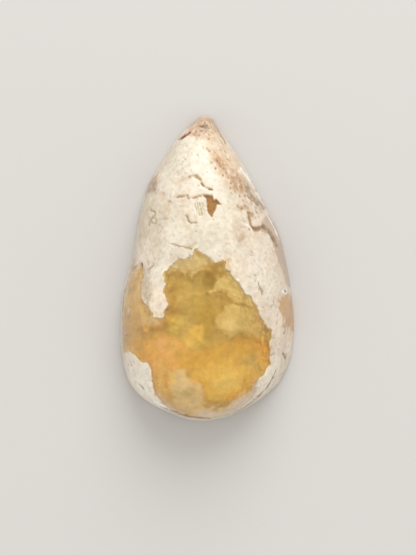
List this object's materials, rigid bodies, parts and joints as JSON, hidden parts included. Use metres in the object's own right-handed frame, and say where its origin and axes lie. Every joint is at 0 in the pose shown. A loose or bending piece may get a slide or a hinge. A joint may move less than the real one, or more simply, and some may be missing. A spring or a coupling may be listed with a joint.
{
  "type": "cantera opal cabochon",
  "caption": "Pear-shaped polished cabochon of honey opal in cream rhyolite matrix, with a high dome, a leaning edge and a flat sawn back.",
  "frame": {"origin": "centre of the stone's length and width, on its flat back", "axes": "+Y along the stone towards its point, +Z out of the back through the dome, +X to the right with the point up"},
  "size_m": [0.0126, 0.022, 0.0066],
  "materials": {
    "rhyolite": "polished cream rhyolite with pits and rust-brown stains",
    "opal": "polished translucent honey opal, part of the same stone"
  },
  "bodies": {
    "root": {"cabochon": "rhyolite"}
  },
  "joints": []
}
